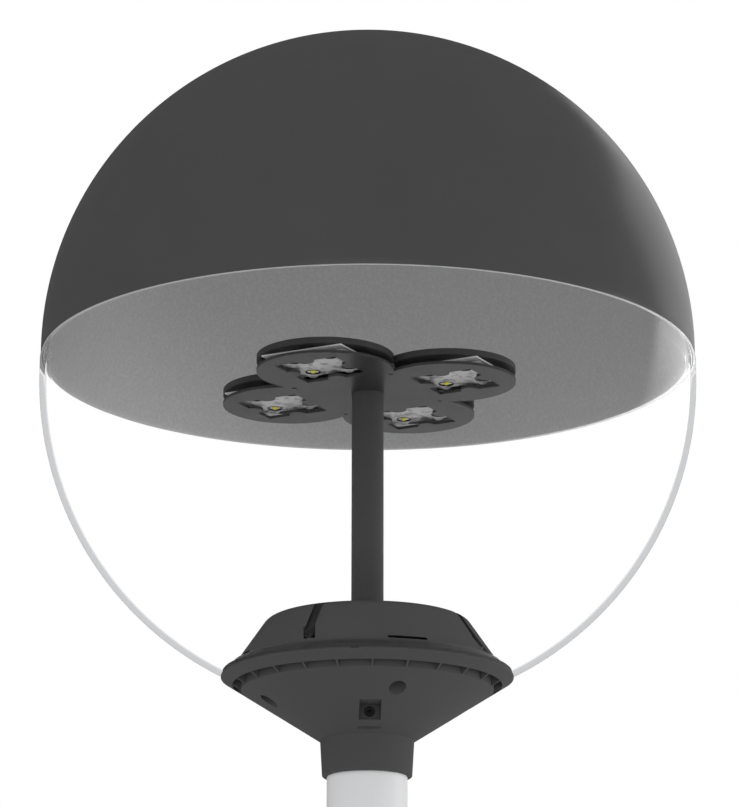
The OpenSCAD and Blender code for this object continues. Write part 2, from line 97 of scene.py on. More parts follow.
@dataclass(frozen=True)
class Wire:
    """A socket on its way through a material, with the sums that can be done on it."""

    shop: "NodeShop"
    socket: bpy.types.NodeSocket

    def _sum(self, operation: str, first: Value, second: Value) -> "Wire":
        """Adds one Math node. Returns its value."""
        return self.shop.node("ShaderNodeMath", {"operation": operation}, {0: first, 1: second})

    def __add__(self, other: Value) -> "Wire":
        """Returns self + other."""
        return self._sum("ADD", self, other)

    def __radd__(self, other: Value) -> "Wire":
        """Returns other + self."""
        return self._sum("ADD", other, self)

    def __sub__(self, other: Value) -> "Wire":
        """Returns self - other."""
        return self._sum("SUBTRACT", self, other)

    def __rsub__(self, other: Value) -> "Wire":
        """Returns other - self."""
        return self._sum("SUBTRACT", other, self)

    def __mul__(self, other: Value) -> "Wire":
        """Returns self * other."""
        return self._sum("MULTIPLY", self, other)

    def __rmul__(self, other: Value) -> "Wire":
        """Returns other * self."""
        return self._sum("MULTIPLY", other, self)


class NodeShop:
    """Makes the nodes of one material or world."""

    MIX_COLOURS = (6, 7)
    MIX_RESULT = 2

    def __init__(self, tree: bpy.types.NodeTree) -> None:
        """Empties the tree.

        Args:
            tree: the node tree to fill.
        """
        self.tree = tree
        tree.nodes.clear()

    def node(
        self,
        kind: str,
        settings: dict[str, object] | None = None,
        sockets: dict[int | str, Value] | None = None,
        output: int | str = 0,
    ) -> Wire:
        """Adds a node.

        Args:
            kind: the node's type, such as "ShaderNodeMath".
            settings: its own settings, set first. "stops" holds a ramp's (place, colour) pairs.
            sockets: values or wires for its inputs, by number or name.
            output: the output to hand back, by number or name.

        Returns:
            The wanted output.
        """
        made = self.tree.nodes.new(kind)
        for name, value in (settings or {}).items():
            if name == "stops":
                self._set_stops(made.color_ramp, value)
            else:
                setattr(made, name, value)
        for key, value in (sockets or {}).items():
            self._feed(made.inputs[key], value)
        return Wire(self, made.outputs[output])

    def _set_stops(self, ramp: bpy.types.ColorRamp, stops: Sequence[tuple[float, Colour]]) -> None:
        """Gives a ramp its stops.

        Args:
            ramp: the ramp to change.
            stops: (place, colour) pairs from 0 to 1.
        """
        while len(ramp.elements) > 1:
            ramp.elements.remove(ramp.elements[-1])
        for number, (place, colour) in enumerate(stops):
            element = ramp.elements[0] if number == 0 else ramp.elements.new(place)
            element.position = place
            element.color = (*colour, 1.0)

    def _feed(self, socket: bpy.types.NodeSocket, value: Value) -> None:
        """Links a wire to an input, or sets the input's own value.

        Args:
            socket: the input.
            value: a wire, a number, or a colour or vector.
        """
        if isinstance(value, Wire):
            self.tree.links.new(value.socket, socket)
        elif isinstance(value, tuple) and len(value) < len(socket.default_value):
            socket.default_value = (*value, 1.0)
        else:
            socket.default_value = value

    def place(self) -> Wire:
        """Returns the point on the piece, in metres."""
        return self.node("ShaderNodeTexCoord", output="Object")

    def noise(self, scale: float, detail: float = 2.0, roughness: float = 0.5) -> Wire:
        """Adds a noise texture.

        Args:
            scale: features per metre.
            detail: number of finer octaves.
            roughness: weight of the finer octaves.

        Returns:
            The noise, around 0.5.
        """
        sockets = {"Vector": self.place(), "Scale": scale, "Detail": detail, "Roughness": roughness}
        return self.node("ShaderNodeTexNoise", {}, sockets, "Fac")

    def blend(self, factor: Value, first: Value, second: Value) -> Wire:
        """Mixes two colours.

        Args:
            factor: 0 gives the first and 1 the second.
            first: a colour.
            second: a colour.

        Returns:
            The mixed colour.
        """
        low, high = self.MIX_COLOURS
        sockets = {0: factor, low: first, high: second}
        return self.node("ShaderNodeMix", {"data_type": "RGBA"}, sockets, self.MIX_RESULT)

    def shades(self, factor: Wire, colour: Colour, share: float) -> Wire:
        """Varies a colour between a darker and a lighter shade.

        Args:
            factor: 0 gives the darker and 1 the lighter.
            colour: the colour half way between them.
            share: how much darker and lighter they are.

        Returns:
            The varied colour.
        """
        dark = tuple((1.0 - share) * part for part in colour)
        light = tuple((1.0 + share) * part for part in colour)
        return self.blend(factor, dark, light)

    def around(self, factor: Wire, middle: float, change: float) -> Wire:
        """Varies a number.

        Args:
            factor: 0 gives the lowest and 1 the highest.
            middle: the number half way between them.
            change: from the lowest to the highest.

        Returns:
            The varied number.
        """
        return factor * change + (middle - change / 2)

    def bump(self, height: Wire, strength: float, distance: float) -> Wire:
        """Turns a height into a normal.

        Args:
            height: the height, about 0 to 1.
            strength: share of the full effect.
            distance: height of 1, in metres.

        Returns:
            The normal.
        """
        sockets = {"Height": height, "Strength": strength, "Distance": distance}
        return self.node("ShaderNodeBump", {}, sockets, "Normal")

    def principled(self, **sockets: Value) -> Wire:
        """Adds the main shader.

        Args:
            sockets: inputs by name, with _ for each space.

        Returns:
            The shader.
        """
        named = {name.replace("_", " "): value for name, value in sockets.items()}
        return self.node("ShaderNodeBsdfPrincipled", {}, named)

    def output(self, surface: Wire, kind: str = "ShaderNodeOutputMaterial") -> None:
        """Adds the output.

        Args:
            surface: the material's shader, or the world's.
            kind: the output's type.
        """
        made = self.tree.nodes.new(kind)
        self.tree.links.new(surface.socket, made.inputs["Surface"])


class Finish:
    """A surface finish, which makes its material when it is first used."""

    name: str

    def shade(self, shop: NodeShop) -> None:
        """Fills the material's nodes.

        Args:
            shop: makes the nodes.
        """
        raise NotImplementedError

    def material(self) -> bpy.types.Material:
        """Returns the material, made on the first call."""
        made = bpy.data.materials.get(self.name)
        if made is None:
            made = bpy.data.materials.new(self.name)
            made.use_nodes = True
            self.shade(NodeShop(made.node_tree))
        return made

    def dress(self, piece: bpy.types.Object) -> None:
        """Gives a piece this finish all over.

        Args:
            piece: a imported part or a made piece.
        """
        slots = piece.material_slots
        if len(slots) == 0:
            piece.data.materials.append(self.material())
        for slot in slots:
            slot.link = "OBJECT"
            slot.material = self.material()


@dataclass(frozen=True)
class PowderCoat(Finish):
    """Baked powder paint: a fine orange peel, and faint clouds in its colour and gloss."""

    name: str
    colour: Colour
    roughness: float
    grain: float = 900.0
    depth: float = 0.05 * MM
    specular: float = 0.5
    cloud_scale: float = 22.0
    cloud_shade: float = 0.07
    cloud_gloss: float = 0.10

    def shade(self, shop: NodeShop) -> None:
        """Fills the material's nodes.

        Args:
            shop: makes the nodes.
        """
        peel = shop.noise(self.grain, detail=3.0, roughness=0.6)
        clouds = shop.noise(self.cloud_scale, detail=3.0, roughness=0.55)
        shader = shop.principled(
            Base_Color=shop.shades(clouds, self.colour, self.cloud_shade),
            Roughness=shop.around(clouds, self.roughness, self.cloud_gloss),
            Normal=shop.bump(peel, strength=0.5, distance=self.depth),
            Specular_IOR_Level=self.specular,
        )
        shop.output(shader)


@dataclass(frozen=True)
class ReflectorCoat(Finish):
    """Pale structured paint inside the dome: a dense fine stipple."""

    name: str
    colour: Colour
    roughness: float
    stipple: float = 520.0
    finer: float = 1.7
    cell_share: float = 0.6
    contrast: float = 0.20
    depth: float = 0.12 * MM

    def shade(self, shop: NodeShop) -> None:
        """Fills the material's nodes.

        Args:
            shop: makes the nodes.
        """
        cells = shop.node(
            "ShaderNodeTexVoronoi",
            {"feature": "SMOOTH_F1"},
            {"Vector": shop.place(), "Scale": self.stipple},
            "Distance",
        )
        fine = shop.noise(self.stipple * self.finer, detail=2.0, roughness=0.6)
        mottle = cells * self.cell_share + fine * (1.0 - self.cell_share)
        shader = shop.principled(
            Base_Color=shop.shades(mottle, self.colour, self.contrast),
            Roughness=self.roughness,
            Normal=shop.bump(mottle, strength=0.35, distance=self.depth),
        )
        shop.output(shader)


@dataclass(frozen=True)
class ClearPlastic(Finish):
    """Clear moulded plastic that takes its edge colour where it is seen edge on.

    Light from the lamps goes straight through it.
    """

    name: str
    ior: float
    edge: Colour = (1.0, 1.0, 1.0)
    edge_from: float = 0.79
    edge_sharpness: float = 110.0

    def shade(self, shop: NodeShop) -> None:
        """Fills the material's nodes.

        Args:
            shop: makes the nodes.
        """
        facing = shop.node("ShaderNodeLayerWeight", {}, {"Blend": 0.5}, "Facing")
        step = {"operation": "MULTIPLY", "use_clamp": True}
        rim = shop.node("ShaderNodeMath", step, {0: facing - self.edge_from, 1: self.edge_sharpness})
        clear = shop.principled(
            Base_Color=shop.blend(rim, (1.0, 1.0, 1.0), self.edge),
            Roughness=0.0,
            IOR=self.ior,
            Transmission_Weight=1.0,
        )
        open_way = shop.node("ShaderNodeBsdfTransparent")
        from_lamp = shop.node("ShaderNodeLightPath", output="Is Shadow Ray")
        shop.output(shop.node("ShaderNodeMixShader", {}, {0: from_lamp, 1: clear, 2: open_way}))


@dataclass(frozen=True)
class WavyPlastic(Finish):
    """Pale glossy moulding with a wavy, patchy face."""

    name: str
    dark: Colour
    light: Colour
    roughness: float
    wave: float
    dark_until: float = 0.36
    light_from: float = 0.50
    gloss_change: float = 0.15
    depth: float = 0.5 * MM

    def shade(self, shop: NodeShop) -> None:
        """Fills the material's nodes.

        Args:
            shop: makes the nodes.
        """
        waves = shop.noise(self.wave, detail=3.0, roughness=0.6)
        stops = [(self.dark_until, self.dark), (self.light_from, self.light)]
        patches = shop.node("ShaderNodeValToRGB", {"stops": stops}, {"Fac": waves}, "Color")
        shader = shop.principled(
            Base_Color=patches,
            Roughness=shop.around(waves, self.roughness, self.gloss_change),
            Normal=shop.bump(waves, strength=0.6, distance=self.depth),
        )
        shop.output(shader)


@dataclass(frozen=True)
class PlainPlastic(Finish):
    """Moulded plastic or rubber with a faint grain."""

    name: str
    colour: Colour
    roughness: float
    grain: float = 700.0
    grain_shade: float = 0.08
    grain_gloss: float = 0.12
    depth: float = 0.04 * MM

    def surface(self, shop: NodeShop) -> Wire:
        """Makes the grained surface.

        Args:
            shop: makes the nodes.

        Returns:
            The shader.
        """
        grain = shop.noise(self.grain, detail=3.0, roughness=0.6)
        return shop.principled(
            Base_Color=shop.shades(grain, self.colour, self.grain_shade),
            Roughness=shop.around(grain, self.roughness, self.grain_gloss),
            Normal=shop.bump(grain, strength=0.3, distance=self.depth),
        )

    def shade(self, shop: NodeShop) -> None:
        """Fills the material's nodes.

        Args:
            shop: makes the nodes.
        """
        shop.output(self.surface(shop))


@dataclass(frozen=True)
class FloorPaint(PlainPlastic):
    """Floor paint that is clear from below, so that the lantern can be seen from there."""

    def shade(self, shop: NodeShop) -> None:
        """Fills the material's nodes.

        Args:
            shop: makes the nodes.
        """
        below = shop.node("ShaderNodeNewGeometry", output="Backfacing")
        clear = shop.node("ShaderNodeBsdfTransparent")
        shop.output(shop.node("ShaderNodeMixShader", {}, {0: below, 1: self.surface(shop), 2: clear}))


@dataclass(frozen=True)
class Plated(Finish):
    """Plated or blackened steel with fine turning marks."""

    name: str
    colour: Colour
    roughness: float
    mark_scale: float = 1400.0
    mark_depth: float = 0.02 * MM
    cloud_scale: float = 60.0
    tarnish: float = 0.15
    gloss_change: float = 0.15

    def shade(self, shop: NodeShop) -> None:
        """Fills the material's nodes.

        Args:
            shop: makes the nodes.
        """
        marks = shop.noise(self.mark_scale)
        clouds = shop.noise(self.cloud_scale)
        dull = tuple((1.0 - self.tarnish) * part for part in self.colour)
        shader = shop.principled(
            Base_Color=shop.blend(clouds, dull, self.colour),
            Metallic=1.0,
            Roughness=shop.around(clouds, self.roughness, self.gloss_change),
            Normal=shop.bump(marks, strength=0.25, distance=self.mark_depth),
        )
        shop.output(shader)


POST_PAINT = PowderCoat("post paint", (0.76, 0.765, 0.775), 0.42, grain=1600.0, depth=0.03 * MM)
BASE_PAINT = PowderCoat("base paint", (0.074, 0.074, 0.075), 0.62, specular=0.05)
LID_PAINT = PowderCoat("lid paint", (0.080, 0.080, 0.081), 0.62, specular=0.0)
# Darker copy of the lid paint for the lid's screw channels: painted shade, standing in for the shade
# in them.
POCKET_PAINTED_SHADE = PowderCoat("pocket painted shade", (0.034, 0.034, 0.035), 0.70, specular=0.05)
STEM_PAINT = PowderCoat("stem paint", (0.068, 0.068, 0.069), 0.60, specular=0.03)
DOME_PAINT = PowderCoat("dome paint", (0.064, 0.064, 0.065), 0.30, specular=0.50)
PLATE_PAINT = PowderCoat("plate paint", (0.032, 0.032, 0.033), 0.36, depth=0.01 * MM, specular=0.09)
# The upper plate's own paint, also put on the lower plate's upright edges as painted light.
UPPER_PLATE_PAINT_AND_EDGE_LIGHT = PowderCoat("upper plate paint and edge light", (0.052, 0.052, 0.053), 0.60, specular=0.06)
REFLECTOR_PAINT = ReflectorCoat("reflector paint", (0.505, 0.505, 0.509), 0.6)
BOWL_EDGE = ClearPlastic("bowl outside", ior=1.004, edge=(0.60, 0.61, 0.62))
BOWL_CLEAR = ClearPlastic("bowl inside", ior=1.004)
LENS_CLEAR = ClearPlastic("lens clear", ior=1.03, edge=(0.75, 0.75, 0.75))
LENS_MOULD = WavyPlastic("lens moulding", (0.16, 0.16, 0.16), (0.50, 0.49, 0.49), 0.375, wave=150.0)
BOARD_MASK = PlainPlastic("board mask", (0.84, 0.84, 0.85), 0.45)
LAMP_PHOSPHOR = PlainPlastic("lamp phosphor", (0.72, 0.66, 0.06), 0.40)
LAMP_CUP = PlainPlastic("lamp cup", (0.74, 0.74, 0.70), 0.35)
SEAL_RUBBER = PlainPlastic("seal rubber", (0.030, 0.030, 0.030), 0.70)
SEAL_CLEAR = ClearPlastic("seal clear", ior=1.004)
RING_BLACK = PlainPlastic("ring black", (0.012, 0.012, 0.012), 0.60)
BLACK_PLASTIC = PlainPlastic("black plastic", (0.035, 0.035, 0.036), 0.50)
POTTED_PLASTIC = PlainPlastic("potted plastic", (0.60, 0.60, 0.58), 0.55)
ZINC_STEEL = Plated("zinc steel", (0.62, 0.62, 0.63), 0.325)
BLACK_STEEL = Plated("black steel", (0.035, 0.035, 0.035), 0.505)


def lathe(profile: Profile, steps: int) -> bmesh.types.BMesh:
    """Turns a closed outline about the Z axis.

    Args:
        profile: (radius, height) points, either way round.
        steps: number of steps round the axis.

    Returns:
        The new mesh. A point on the axis becomes one vertex.
    """
    mesh = bmesh.new()
    turns = [2 * math.pi * i / steps for i in range(steps)]
    rings: list[list[bmesh.types.BMVert]] = []
    for radius, height in profile:
        ring = [(0.0, 0.0, height)]
        if radius > ON_AXIS:
            ring = [(radius * math.cos(a), radius * math.sin(a), height) for a in turns]
        rings.append([mesh.verts.new(point) for point in ring])
    for low, high in zip(rings, rings[1:] + rings[:1]):
        if len(low) == 1 and len(high) == 1:
            continue
        for i in range(steps):
            j = (i + 1) % steps
            corners = [low[i % len(low)], low[j % len(low)], high[j % len(high)], high[i % len(high)]]
            mesh.faces.new(list(dict.fromkeys(corners)))
    bmesh.ops.recalc_face_normals(mesh, faces=mesh.faces)
    return mesh


def arc(centre: Pair, radius: float, start: float, end: float, steps: int) -> list[Pair]:
    """Places points on an arc from one angle to another.

    Args:
        centre: the arc's centre.
        radius: its radius.
        start: first angle, in degrees.
        end: last angle, in degrees.
        steps: number of steps.

    Returns:
        The points, with both ends.
    """
    angles = [math.radians(start + (end - start) * i / steps) for i in range(steps + 1)]
    return [(centre[0] + radius * math.cos(a), centre[1] + radius * math.sin(a)) for a in angles]


def add_piece(name: str, mesh: bmesh.types.BMesh) -> bpy.types.Object:
    """Makes an object of a mesh, smooth except along its creases.

    Args:
        name: the piece's name.
        mesh: the mesh, which is freed.

    Returns:
        The new object.
    """
    data = bpy.data.meshes.new(name)
    mesh.to_mesh(data)
    mesh.free()
    data.shade_smooth()
    data.set_sharp_from_angle(angle=math.radians(CREASE_ANGLE))
    piece = bpy.data.objects.new(name, data)
    bpy.context.scene.collection.objects.link(piece)
    return piece


def circle(centre: Pair, radius: float, steps: int) -> list[Pair]:
    """Returns the points of a full circle."""
    return arc(centre, radius, 0.0, 360.0, steps)[:-1]


def quarter_turn(steps: int) -> list[float]:
    """Returns angles from 0 to a quarter turn, in radians."""
    return [math.pi / 2 * i / steps for i in range(steps + 1)]


def flat_piece(
    name: str,
    loops: Sequence[Profile],
    low: float,
    height: float,
    soft: float,
) -> bpy.types.Object:
    """Makes a flat piece with holes and softened edges.

    Args:
        name: the piece's name.
        loops: its outline and holes, each a closed loop of points.
        low: height of its underside.
        height: its thickness.
        soft: size of the softened edges.

    Returns:
        The new object.
    """
    curve = bpy.data.curves.new(name, "CURVE")
    curve.dimensions = "2D"
    curve.fill_mode = "BOTH"
    curve.extrude = height / 2 - soft
    curve.bevel_depth = soft
    curve.bevel_resolution = 1
    curve.offset = -soft
    for loop in loops:
        spline = curve.splines.new("POLY")
        spline.points.add(len(loop) - 1)
        for point, (x, y) in zip(spline.points, loop):
            point.co = (x, y, 0.0, 1.0)
        spline.use_cyclic_u = True
    holder = bpy.data.objects.new(f"{name}_outline", curve)
    data = bpy.data.meshes.new_from_object(holder)
    bpy.data.objects.remove(holder)
    mesh = bmesh.new()
    mesh.from_mesh(data)
    bpy.data.meshes.remove(data)
    bmesh.ops.remove_doubles(mesh, verts=mesh.verts, dist=WELD)
    mesh.transform(Matrix.Translation((0.0, 0.0, low + height / 2)))
    return add_piece(name, mesh)


def repaint_faces(piece: bpy.types.Object, finish: Finish, faces: set[int]) -> None:
    """Gives some faces of a piece a second finish.

    Args:
        piece: the piece.
        finish: the second finish.
        faces: the faces' numbers.
    """
    piece.data.materials.append(finish.material())
    number = len(piece.data.materials) - 1
    piece.material_slots[number].link = "OBJECT"
    piece.material_slots[number].material = finish.material()
    for face in piece.data.polygons:
        if face.index in faces:
            face.material_index = number


def repaint(piece: bpy.types.Object, finish: Finish, wanted: Callable[[Vector], bool]) -> None:
    """Gives the faces whose centre passes a test a second finish.

    Args:
        piece: the piece.
        finish: the second finish.
        wanted: the test.
    """
    repaint_faces(piece, finish, {face.index for face in piece.data.polygons if wanted(face.center)})


def let_light_through(piece: bpy.types.Object) -> None:
    """Keeps clear plastic out of the way of the light, which would otherwise be lost in it.

    Args:
        piece: the clear piece.
    """
    piece.visible_shadow = False
    piece.visible_diffuse = False


def seat(
    piece: bpy.types.Object, body: Body, slot: Slot, finish: Finish, *nodes: str
) -> bpy.types.Object:
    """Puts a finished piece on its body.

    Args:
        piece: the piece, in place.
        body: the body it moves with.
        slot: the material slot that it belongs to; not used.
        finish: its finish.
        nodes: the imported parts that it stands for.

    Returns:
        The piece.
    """
    finish.dress(piece)
    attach(piece, body.value)
    if nodes:
        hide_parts(*nodes)
    LOG.info("%s: %d faces", piece.name, len(piece.data.polygons))
    return piece


@dataclass
class Frame:
    """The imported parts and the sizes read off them."""

    nodes: dict[str, bpy.types.Object]

    def top(self, node: str) -> float:
        """Returns the height of a part's top."""
        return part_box(node)[1].z

    def bottom(self, node: str) -> float:
        """Returns the height of a part's lower end."""
        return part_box(node)[0].z

    def outline(self, node: str) -> list[Pair]:
        """Returns a part's vertices as (distance from the axis, height) points."""
        return [(math.hypot(v.co.x, v.co.y), v.co.z) for v in self.nodes[node].data.vertices]

    def reach(self, node: str) -> float:
        """Returns the largest distance of a part from the axis."""
        return max(radius for radius, _ in self.outline(node))

    def copy(self, node: str, name: str) -> bpy.types.Object:
        """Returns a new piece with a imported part's own shape."""
        piece = bpy.data.objects.new(name, self.nodes[node].data.copy())
        bpy.context.scene.collection.objects.link(piece)
        return piece

    def dress(self, finish: Finish, *names: str) -> None:
        """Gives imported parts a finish.

        Args:
            finish: the finish.
            names: the parts' names.
        """
        for name in names:
            finish.dress(self.nodes[name])
            LOG.info("%s: packed part, %s", name, finish.name)


@dataclass
class Globe:
    """The dome, its reflector and the clear bowl, each turned from its section."""

    frame: Frame
    dome_wall: float = 2.5 * MM
    liner_wall: float = 1.0 * MM
    bowl_wall: float = 5.0 * MM
    spigot_gap: float = 0.4 * MM
    spigot_wall: float = 2.4 * MM
    spigot_root: float = 8.0 * MM
    lip_round: float = 0.4 * MM
    clearance: float = 0.06 * MM
    steps: int = 288
    rows: int = 64
    lip_rows: int = 3

    def build(self) -> None:
        """Makes the three shells and dresses the seals."""
        dome = self.build_shell("dome_shell", "dome", self.dome_wall, Slot.DOME, DOME_PAINT)
        self.paint_inside(dome)
        liner = self.liner_wall
        self.build_shell("reflector_lining", "reflector", liner, Slot.REFLECTOR, REFLECTOR_PAINT)
        self.build_bowl()
        self.frame.dress(SEAL_RUBBER, "bowl_seal")
        gasket = self.frame.copy("rim_seal", "rim_gasket")
        let_light_through(seat(gasket, Body.HEAD, Slot.GLASS, SEAL_CLEAR, "rim_seal"))

    def build_shell(
        self, name: str, node: str, wall: float, slot: Slot, finish: Finish
    ) -> bpy.types.Object:
        """Turns a half ball with an upright band below it and a rounded lower edge.

        Args:
            name: the piece's name.
            node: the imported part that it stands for.
            wall: its wall.
            slot: its material slot.
            finish: its finish.

        Returns:
            The piece.
        """
        outer = self.frame.reach(node)
        low = self.frame.bottom(node)
        centre = (0.0, self.frame.top(node) - outer)
        inner = outer - wall
        soft = min(self.lip_round, wall / 2 - self.clearance)
        section = arc(centre, outer, 0.0, 90.0, self.rows) + arc(centre, inner, 90.0, 0.0, self.rows)
        section += arc((inner + soft, low + soft), soft, 180.0, 270.0, self.lip_rows)
        section += arc((outer - soft, low + soft), soft, 270.0, 360.0, self.lip_rows)
        return seat(add_piece(name, lathe(section, self.steps)), Body.DOME, slot, finish, node)

    def paint_inside(self, dome: bpy.types.Object) -> None:
        """Gives the dome the pale paint inside and under its edge.

        Args:
            dome: the dome's shell.
        """
        outer = self.frame.reach("dome")
        centre = self.frame.top("dome") - outer
        skin = outer - self.lip_round / 2

        def inside(point: Vector) -> bool:
            """Tells whether a face is not on the dome's outside."""
            return math.hypot(point.x, point.y, max(0.0, point.z - centre)) < skin

        repaint(dome, REFLECTOR_PAINT, inside)

    def bowl_centre(self) -> float:
        """Works out where the bowl's ball has its centre, from its foot and its reach.

        Returns:
            The height of the centre.
        """
        low = self.frame.bottom("bowl")
        foot = max(r for r, h in self.frame.outline("bowl") if h < low + self.clearance)
        return low + math.sqrt(self.frame.reach("bowl") ** 2 - foot**2)

    def bowl_section(self) -> Profile:
        """Draws the bowl's section: ball, shoulder and spigot.

        Returns:
            The section's (radius, height) points.
        """
        outer = self.frame.reach("bowl")
        inner = outer - self.bowl_wall
        points = self.frame.outline("bowl")
        low = self.frame.bottom("bowl")
        centre = self.bowl_centre()
        inside = [h for r, h in points if math.hypot(r, h - centre) < inner + self.clearance]
        outer_start = math.degrees(math.asin((low + self.clearance - centre) / outer))
        inner_start = math.degrees(math.asin((min(inside) + self.clearance - centre) / inner))
        shoulder = self.frame.bottom("rim_seal") - self.clearance
        spigot = self.frame.reach("reflector") - self.liner_wall - self.spigot_gap
        neck = spigot - self.spigot_wall
        top = self.frame.top("bowl")
        soft = self.lip_round
        section = arc((0.0, centre), outer, outer_start, 0.0, self.rows)
        section += arc((outer - soft, shoulder - soft), soft, 0.0, 90.0, self.lip_rows)
        section += [(spigot, shoulder)]
        section += arc((spigot - soft, top - soft), soft, 0.0, 90.0, self.lip_rows)
        section += arc((neck + soft, top - soft), soft, 90.0, 180.0, self.lip_rows)
        section += [(neck, shoulder - self.spigot_root), (inner, shoulder - self.spigot_root)]
        section += arc((0.0, centre), inner, 0.0, inner_start, self.rows)
        return section

    def build_bowl(self) -> None:
        """Turns the bowl. Only its outside shows the grey edge band."""
        piece = add_piece("clear_bowl", lathe(self.bowl_section(), self.steps))
        seat(piece, Body.HEAD, Slot.GLASS, BOWL_CLEAR, "bowl")
        middle = self.frame.reach("bowl") - self.bowl_wall / 2
        centre = self.bowl_centre()

        def outside(point: Vector) -> bool:
            """Tells whether a face is on the bowl's outside."""
            return math.hypot(point.x, point.y, min(0.0, point.z - centre)) > middle

        repaint(piece, BOWL_EDGE, outside)
        let_light_through(piece)


@dataclass
class Base:
    """The cast base, its lid and what they hold."""

    frame: Frame
    lid_run: float = 23.0 * MM
    channels: int = 4
    channel_at: float = -29.0
    channel_reach: float = 6.0
    channel_skin: float = 0.6 * MM
    channel_depth: float = 12.0 * MM

    def build(self) -> None:
        """Dresses the castings and the gear."""
        self.frame.dress(BASE_PAINT, "base")
        self.build_lid()
        self.frame.dress(ZINC_STEEL, "gear_tray", "tray_screws", "tray_nuts", "driver_screws")
        self.frame.dress(POTTED_PLASTIC, "driver", "terminal_block")
        self.frame.dress(BLACK_PLASTIC, "cable_gland", "gland_nut")
        self.frame.dress(SEAL_RUBBER, "lid_seal")
        self.frame.dress(BLACK_STEEL, "set_screw_1", "set_screw_2", "set_screw_3", "lid_screws")

    def build_lid(self) -> None:
        """Copies the lid and paints the faces in its screw channels darker: painted shade in the
        channels.
        """
        lid = self.frame.copy("lid", "lid_casting")
        seat(lid, Body.HEAD, Slot.DARK, LID_PAINT, "lid")
        foot = self.frame.reach("lid")
        low, top = self.frame.bottom("lid"), self.frame.top("lid")
        slope = self.lid_run / (top - low)
        pitch = 360.0 / self.channels

        def sunken(point: Vector) -> bool:
            """Tells whether a face lies below the lid's outer face, near a channel."""
            turn = math.degrees(math.atan2(point.x, -point.y)) - self.channel_at
            aside = abs((turn + pitch / 2) % pitch - pitch / 2)
            outer = foot - (point.z - low) * slope
            sunk = outer - math.hypot(point.x, point.y)
            return aside < self.channel_reach and self.channel_skin < sunk < self.channel_depth

        # The channel faces take the darker paint: painted shade in the recesses.
        repaint(lid, POCKET_PAINTED_SHADE, sunken)


